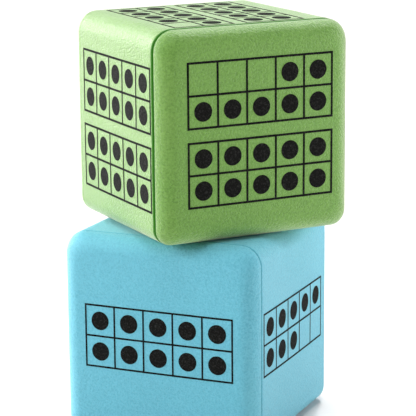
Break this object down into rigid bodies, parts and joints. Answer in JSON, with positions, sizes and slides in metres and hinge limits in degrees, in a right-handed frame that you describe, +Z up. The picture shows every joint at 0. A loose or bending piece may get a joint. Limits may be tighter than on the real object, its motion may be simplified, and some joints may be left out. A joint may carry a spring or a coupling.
{
  "type": "giant foam dice",
  "caption": "Giant soft foam dice, a green one standing turned on a blue one, with thick end caps, a wrapped skin and ten-frame counting grids printed on every side.",
  "frame": {"origin": "middle of the lower die's underside, on the surface that it rests on", "axes": "+Z up through both dice; -Y out of the face of the lower die's front cap, which holds ten dots; +X out of its side with eight dots"},
  "size_m": [0.1702, 0.1702, 0.2544],
  "materials": {
    "blue_foam": "matte",
    "green_foam": "matte",
    "blue_core_foam": "matte",
    "green_core_foam": "matte",
    "ink": "matte"
  },
  "bodies": {
    "blue_die": {"blue_core": "blue_core_foam", "blue_wrap": "blue_foam", "blue_front_cap": "blue_foam", "blue_back_cap": "blue_foam", "blue_ten_print": "ink", "blue_eight_print": "ink", "blue_five_print": "ink", "blue_seven_print": "ink", "blue_nine_print": "ink", "blue_six_print": "ink"},
    "green_die": {"green_core": "green_core_foam", "green_wrap": "green_foam", "green_front_cap": "green_foam", "green_back_cap": "green_foam", "green_seventeen_print": "ink", "green_fifteen_print": "ink", "green_eighteen_print": "ink", "green_twenty_print": "ink", "green_nineteen_print": "ink", "green_sixteen_print": "ink"}
  },
  "joints": [
    {"name": "green_lift", "type": "slide", "parent": "blue_die", "child": "green_die", "axis": [0, 0, 1], "range_m": [0, 0.15]}
  ]
}
